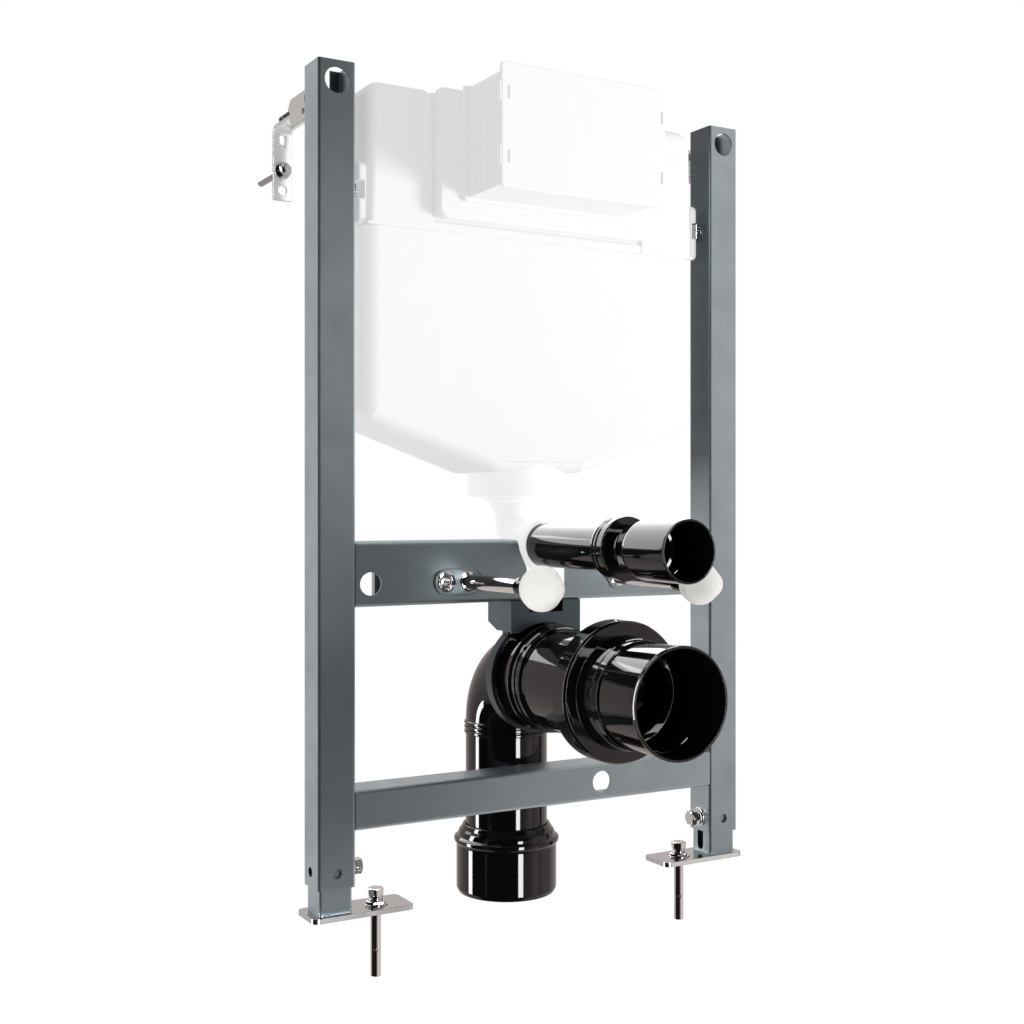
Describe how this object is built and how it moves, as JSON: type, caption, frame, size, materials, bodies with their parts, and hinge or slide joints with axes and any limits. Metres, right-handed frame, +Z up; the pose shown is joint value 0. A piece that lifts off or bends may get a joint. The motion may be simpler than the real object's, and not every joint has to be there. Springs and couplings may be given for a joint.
{
  "type": "wall hung toilet frame with concealed cistern",
  "caption": "Open steel frame on telescopic legs with a concealed cistern, flush pipe, waste bend and fixing studs for a wall hung toilet pan.",
  "frame": {"origin": "middle of the back face of the left wall plate, 18 mm below its bolt, where it meets the wall; the undersides of the foot plates are 720 mm below it and the frame's middle is 231 mm to +X", "axes": "+Z up, +Y into the wall, +X to the right seen from the front"},
  "size_m": [0.512, 0.4526, 0.877],
  "materials": {
    "post_paint": "satin",
    "bracket_paint": "satin",
    "steel": "brushed",
    "chrome": "polished",
    "black_pipe": "gloss",
    "rubber": "satin",
    "white_tank": "matte",
    "white_cap": "gloss"
  },
  "bodies": {
    "frame": {"access_cover": "white_tank", "access_panel": "white_tank", "access_shroud": "white_tank", "cistern_clips": "bracket_paint", "cistern_outlet": "white_tank", "cistern_shell": "white_tank", "cistern_tank": "white_tank", "flush_elbow": "white_cap", "flush_pipe": "black_pipe", "flush_seal": "rubber", "flush_socket": "black_pipe", "left_bracket_arm": "chrome", "left_bracket_rod": "steel", "left_bracket_screw": "chrome", "left_leg_lock_bolt": "chrome", "left_post": "post_paint", "left_stud_cap": "white_cap", "left_stud_sleeve": "rubber", "left_wall_bolt": "chrome", "left_wall_plate": "chrome", "left_wc_stud": "chrome", "lower_rail": "post_paint", "middle_rail": "post_paint", "pan_connector_body": "black_pipe", "pan_connector_seal": "rubber", "pan_connector_sleeve": "black_pipe", "right_bracket_arm": "chrome", "right_bracket_rod": "steel", "right_bracket_screw": "chrome", "right_leg_lock_bolt": "chrome", "right_post": "post_paint", "right_stud_cap": "white_cap", "right_stud_sleeve": "rubber", "right_wall_bolt": "chrome", "right_wall_plate": "chrome", "right_wc_stud": "chrome", "stud_nuts": "chrome", "waste_bend": "black_pipe", "waste_bracket": "bracket_paint", "waste_clamp_ring": "bracket_paint", "waste_coupling": "black_pipe"},
    "left_foot": {"left_anchor_nut": "chrome", "left_floor_anchor": "chrome", "left_foot_plate": "steel", "left_leg": "post_paint"},
    "right_foot": {"right_anchor_nut": "chrome", "right_floor_anchor": "chrome", "right_foot_plate": "steel", "right_leg": "post_paint"}
  },
  "joints": [
    {"name": "left_leg_slide", "type": "slide", "parent": "frame", "child": "left_foot", "axis": [0, 0, -1], "range_m": [0, 0.2]},
    {"name": "right_leg_slide", "type": "slide", "parent": "frame", "child": "right_foot", "axis": [0, 0, -1], "range_m": [0, 0.2]}
  ]
}
